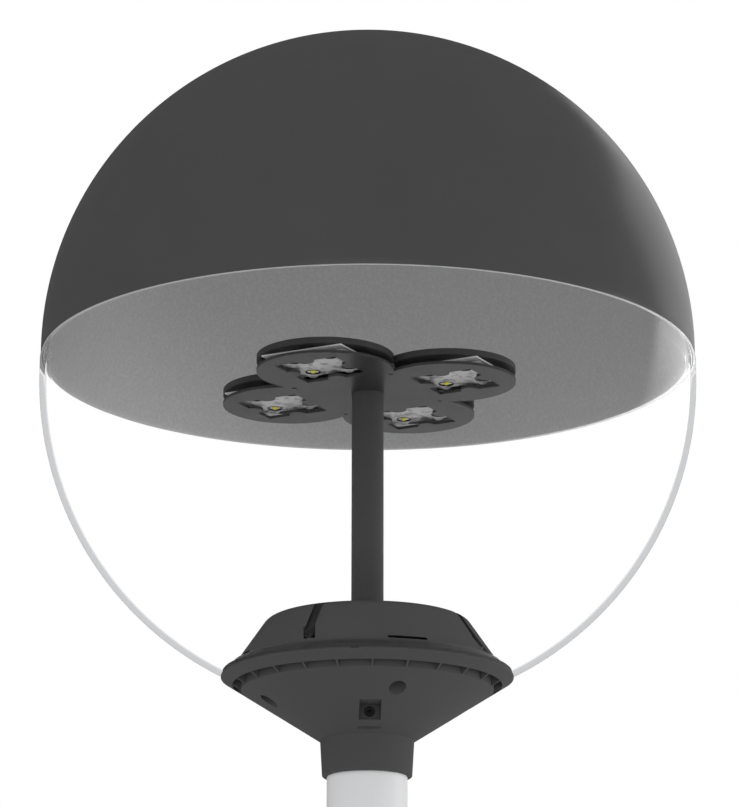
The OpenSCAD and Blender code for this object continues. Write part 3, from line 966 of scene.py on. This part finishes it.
@dataclass
class LampHead:
    """The stem, the two plates and the lamps between them."""

    frame: Frame
    windows: int = 4
    turn: float = -30.0
    lamp_pitch: float = 30.6 * MM
    lamp_side: float = 5.0 * MM
    lamp_height: float = 0.7 * MM
    lens_gap: float = 0.3 * MM
    lens_height: float = 1.2 * MM
    lens_length: float = 64.0 * MM
    lens_width: float = 50.2 * MM
    lens_corner: float = 2.0 * MM
    lens_soft: float = 0.2 * MM
    dome_radius: float = 5.6 * MM
    hole_play: float = 0.5 * MM
    ring_width: float = 0.5 * MM
    ring_height: float = 1.3 * MM
    cup_height: float = 0.2 * MM
    moulded_in: float = 0.05 * MM
    button_radius: float = 2.3 * MM
    button_height: float = 1.8 * MM
    upright: float = 0.5
    corner_rows: int = 5
    hole_steps: int = 40
    dome_steps: int = 32
    dome_rows: int = 12
    button_steps: int = 24
    button_rows: int = 6

    def build(self) -> None:
        """Dresses the plates and makes what is in the windows."""
        self.frame.dress(STEM_PAINT, "stem", "plate_hub")
        self.build_plate("lower_plate", "lobed_plate", PLATE_PAINT)
        self.build_plate("upper_plate", "heat_plate", UPPER_PLATE_PAINT_AND_EDGE_LIGHT)
        self.frame.dress(ZINC_STEEL, "stem_nut", "plate_standoffs", "head_nut")
        self.frame.dress(PLATE_PAINT, "plate_screws")
        self.frame.dress(SEAL_RUBBER, "stem_seal", "stem_grommets")
        self.frame.dress(BLACK_PLASTIC, "lamp_cable")
        for number in range(1, self.windows + 1):
            self.frame.dress(BOARD_MASK, f"lamp_board_{number}")
            self.build_window(number)

    def build_plate(self, node: str, name: str, finish: Finish) -> None:
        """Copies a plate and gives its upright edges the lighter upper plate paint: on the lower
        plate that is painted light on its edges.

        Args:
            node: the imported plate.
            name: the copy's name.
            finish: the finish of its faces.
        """
        piece = self.frame.copy(node, name)
        seat(piece, Body.HEAD, Slot.PLATE, finish, node)
        # Upright faces take a lighter paint than the flat faces: painted light standing in for how
        # the light falls on the edges.
        edges = {face.index for face in piece.data.polygons if abs(face.normal.z) < self.upright}
        repaint_faces(piece, UPPER_PLATE_PAINT_AND_EDGE_LIGHT, edges)

    def build_window(self, number: int) -> None:
        """Makes the lens plate, its domes and the lamps behind one window.

        Args:
            number: the window, from 1.
        """
        lens = f"lens_{number}"
        low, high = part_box(lens)
        board = self.frame.bottom(f"lamp_board_{number}")
        place = Matrix.Translation(((low.x + high.x) / 2, (low.y + high.y) / 2, board))
        place = place @ Matrix.Rotation(math.radians(self.turn), 4, "Z")
        plate = self.lens_plate(f"lens_plate_{number}")
        domes = self.lens_domes(f"lens_domes_{number}")
        rings = self.lamp_rings(f"lamp_rings_{number}")
        cups = self.lamp_cups(f"lamp_cups_{number}")
        phosphor = self.lamp_phosphor(f"lamp_phosphor_{number}")
        for piece in (plate, domes, rings, cups, phosphor):
            piece.data.transform(place)
        seat(plate, Body.HEAD, Slot.GLASS, LENS_MOULD, lens)
        seat(domes, Body.HEAD, Slot.GLASS, LENS_CLEAR, lens)
        seat(rings, Body.HEAD, Slot.RUBBER, RING_BLACK)
        seat(cups, Body.HEAD, Slot.LAMP, LAMP_CUP, f"lamps_{number}")
        seat(phosphor, Body.HEAD, Slot.LAMP, LAMP_PHOSPHOR, f"lamps_{number}")
        let_light_through(domes)

    def lamp_places(self) -> list[Pair]:
        """Returns the places of the four lamps on their board."""
        half = self.lamp_pitch / 2
        return [(x, y) for x in (-half, half) for y in (-half, half)]

    def lens_plate(self, name: str) -> bpy.types.Object:
        """Makes the flat moulding with a hole round each dome.

        Args:
            name: the piece's name.

        Returns:
            The piece, with the board's face at height 0.
        """
        corner = self.lens_corner
        x, y = self.lens_length / 2 - corner, self.lens_width / 2 - corner
        rim: list[Pair] = []
        for sx, sy, start in ((1, 1, 0.0), (-1, 1, 90.0), (-1, -1, 180.0), (1, -1, 270.0)):
            rim += arc((sx * x, sy * y), corner, start, start + 90.0, self.corner_rows)
        hole = self.dome_radius + self.hole_play
        holes = [circle(place, hole, self.hole_steps) for place in self.lamp_places()]
        low = -self.lamp_height - self.lens_gap - self.lens_height
        return flat_piece(name, [rim, *holes], low, self.lens_height, self.lens_soft)

    def lens_domes(self, name: str) -> bpy.types.Object:
        """Makes the four clear half balls over the lamps.

        Args:
            name: the piece's name.

        Returns:
            The piece, with the board's face at height 0.
        """
        top = -self.lamp_height - self.lens_gap
        section = [(0.0, top)] + arc((0.0, top), self.dome_radius, 0.0, -90.0, self.dome_rows)
        return add_piece(name, self.copies(section, self.dome_steps))

    def lamp_rings(self, name: str) -> bpy.types.Object:
        """Makes the four black rings moulded into the feet of the domes.

        Args:
            name: the piece's name.

        Returns:
            The piece, with the board's face at height 0.
        """
        top = -self.lamp_height - self.lens_gap - self.moulded_in
        outer = self.dome_radius - self.moulded_in
        inner = outer - self.ring_width
        low = top - self.ring_height
        section = [(inner, low), (outer, low), (outer, top), (inner, top)]
        return add_piece(name, self.copies(section, self.dome_steps))

    def lamp_cups(self, name: str) -> bpy.types.Object:
        """Makes the four lamps' pale cups: a shaft from the board and a round flange in the dome.

        Args:
            name: the piece's name.

        Returns:
            The piece, with the board's face at height 0.
        """
        top = -self.lamp_height - self.lens_gap - self.moulded_in
        flange = self.dome_radius - self.moulded_in - self.ring_width
        shaft = self.lamp_side / 2
        low = top - self.cup_height
        section = [(0.0, low), (flange, low), (flange, top), (shaft, top), (shaft, 0.0), (0.0, 0.0)]
        return add_piece(name, self.copies(section, self.dome_steps))

    def lamp_phosphor(self, name: str) -> bpy.types.Object:
        """Makes the four domed yellow buttons of the lamps.

        Args:
            name: the piece's name.

        Returns:
            The piece, with the board's face at height 0.
        """
        foot = -self.lamp_height - self.lens_gap - self.moulded_in - self.cup_height
        radius, height = self.button_radius, self.button_height
        turns = quarter_turn(self.button_rows)
        bulge = [(radius * math.cos(a), foot - height * math.sin(a)) for a in turns]
        section = [(0.0, foot + self.moulded_in), (radius, foot + self.moulded_in)] + bulge
        return add_piece(name, self.copies(section, self.button_steps))

    def copies(self, section: Profile, steps: int) -> bmesh.types.BMesh:
        """Turns a section at each lamp's place.

        Args:
            section: (radius, height) points.
            steps: number of steps round the axis.

        Returns:
            One mesh of all four.
        """
        mesh = bmesh.new()
        for x, y in self.lamp_places():
            one = lathe(section, steps)
            one.transform(Matrix.Translation((x, y, 0.0)))
            data = bpy.data.meshes.new("turned")
            one.to_mesh(data)
            one.free()
            mesh.from_mesh(data)
            bpy.data.meshes.remove(data)
        return mesh


@dataclass
class Post:
    """The section of post that carries the lantern."""

    frame: Frame

    def build(self) -> None:
        """Dresses the post."""
        self.frame.dress(POST_PAINT, "post")


@dataclass(frozen=True)
class Lamp:
    """A studio lamp and the point that it faces."""

    name: str
    place: Point
    aim: Point
    watts: float

    def light(self) -> bpy.types.Light:
        """Makes the kind of light that the lamp holds."""
        raise NotImplementedError

    def hang(self) -> None:
        """Puts the lamp in its place and turns it to its aim."""
        data = self.light()
        data.energy = self.watts
        lamp = bpy.data.objects.new(self.name, data)
        bpy.context.scene.collection.objects.link(lamp)
        lamp.location = self.place
        way = Vector(self.aim) - Vector(self.place)
        lamp.rotation_euler = way.to_track_quat("-Z", "Y").to_euler()


@dataclass(frozen=True)
class Softbox(Lamp):
    """A soft square lamp."""

    side: float

    def light(self) -> bpy.types.Light:
        """Returns a square area light."""
        data = bpy.data.lights.new(self.name, "AREA")
        data.size = self.side
        return data


@dataclass(frozen=True)
class Spotlight(Lamp):
    """A narrow lamp whose beam fades out from its middle."""

    width: float
    bulb: float

    def light(self) -> bpy.types.Light:
        """Returns a spot light, its full width in degrees."""
        data = bpy.data.lights.new(self.name, "SPOT")
        data.spot_size = math.radians(self.width)
        data.spot_blend = 1.0
        data.shadow_soft_size = self.bulb
        return data


KEY = Softbox("key softbox", (1.75, 1.95, 1.25), aim=(0.0, 0.0, 0.55), watts=10.0, side=2.2)
SIDE = Softbox("side softbox", (2.6, 0.2, 0.1), aim=(0.0, 0.0, 0.20), watts=14.0, side=1.2)
FRONT = Softbox("front softbox", (-0.3, -3.0, -0.2), aim=(0.0, 0.0, 0.40), watts=12.0, side=1.6)
RIM_GLOW = Spotlight(
    "low spot", (-0.40, 1.40, -0.28), aim=(0.246, 0.02, 0.485), watts=285.0, width=9.0, bulb=0.08
)


@dataclass
class Studio:
    """Floor, lamps, world and camera."""

    lamps: tuple[Lamp, ...] = (KEY, SIDE, FRONT, RIM_GLOW)
    floor_height: float = -0.36
    floor_size: float = 14.0
    floor_colour: Colour = (0.80, 0.80, 0.80)
    ambient: float = 0.85
    tent_colour: Colour = (0.12, 0.12, 0.12)
    tent_reach: float = 3.2
    tent_height: float = 3.0
    matt: float = 0.9
    lens_mm: float = 155.07
    sensor_mm: float = 36.0
    far_clip: float = 60.0
    camera_distance: float = 2.55678
    camera_height: float = -0.25511
    camera_turn: float = -2.2
    camera_pan: float = -0.013
    camera_pitch: float = 15.88
    camera_roll: float = 0.09

    def build(self) -> None:
        """Sets up everything round the lantern."""
        self.set_colours()
        self.add_camera()
        self.add_world()
        self.add_floor()
        for lamp in self.lamps:
            lamp.hang()
            LOG.info("%s: lamp", lamp.name)
        self.add_tent()

    def set_colours(self) -> None:
        """Uses the plain view transform."""
        bpy.context.scene.view_settings.view_transform = "Standard"

    def add_camera(self) -> None:
        """Places the camera where the photo was taken from."""
        data = bpy.data.cameras.new("camera")
        data.lens = self.lens_mm
        data.sensor_width = self.sensor_mm
        data.sensor_fit = "AUTO"
        data.clip_end = self.far_clip
        camera = bpy.data.objects.new("camera", data)
        bpy.context.scene.collection.objects.link(camera)
        turn = math.radians(self.camera_turn)
        place = Vector((math.sin(turn), -math.cos(turn), 0.0)) * self.camera_distance
        place.z = self.camera_height
        camera.matrix_world = (
            Matrix.Translation(place)
            @ Matrix.Rotation(math.radians(self.camera_turn + self.camera_pan), 4, "Z")
            @ Matrix.Rotation(math.radians(90.0 + self.camera_pitch), 4, "X")
            @ Matrix.Rotation(math.radians(self.camera_roll), 4, "Z")
        )
        bpy.context.scene.camera = camera

    def add_world(self) -> None:
        """Makes a white surround, a little dimmer as a light than it looks."""
        world = bpy.data.worlds.new("surround")
        bpy.context.scene.world = world
        world.use_nodes = True
        shop = NodeShop(world.node_tree)
        shown = shop.node("ShaderNodeLightPath", output="Is Camera Ray")
        for name in ("Is Glossy Ray", "Is Transmission Ray"):
            seen = shop.node("ShaderNodeLightPath", output=name)
            shown = shop.node("ShaderNodeMath", {"operation": "MAXIMUM"}, {0: shown, 1: seen})
        strength = shown * (1.0 - self.ambient) + self.ambient
        sky = shop.node("ShaderNodeBackground", {}, {"Color": (1.0, 1.0, 1.0), "Strength": strength})
        shop.output(sky, "ShaderNodeOutputWorld")

    def add_floor(self) -> None:
        """Lays a plain pale floor well below the cut end of the post."""
        half = self.floor_size / 2
        mesh = bmesh.new()
        corners = [(-half, -half), (half, -half), (half, half), (-half, half)]
        mesh.faces.new([mesh.verts.new((x, y, self.floor_height)) for x, y in corners])
        floor = add_piece("floor", mesh)
        FloorPaint("floor paint", self.floor_colour, self.matt).dress(floor)

    def add_tent(self) -> None:
        """Hangs dark cloth above and all round the lantern, which only shiny paint mirrors."""
        reach, low, top = self.tent_reach, self.floor_height, self.tent_height
        mesh = bmesh.new()
        plan = [(-reach, -reach), (-reach, reach), (reach, reach), (reach, -reach)]
        foot = [mesh.verts.new((x, y, low)) for x, y in plan]
        roof = [mesh.verts.new((x, y, top)) for x, y in plan]
        for i in range(len(plan)):
            mesh.faces.new((foot[i - 1], foot[i], roof[i], roof[i - 1]))
        mesh.faces.new(roof)
        tent = add_piece("tent", mesh)
        PlainPlastic("tent cloth", self.tent_colour, self.matt).dress(tent)
        for kind in ("camera", "diffuse", "transmission", "shadow"):
            setattr(tent, f"visible_{kind}", False)


def main() -> None:
    """Builds the lantern and its studio."""
    logging.basicConfig(level=logging.INFO, format="%(name)s: %(message)s")
    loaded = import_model()
    frame = Frame(loaded["nodes"])
    Studio().build()
    for part in (Post(frame), Base(frame), LampHead(frame), Globe(frame)):
        part.build()
        LOG.info("%s is built", type(part).__name__)


if __name__ == "__main__":
    main()
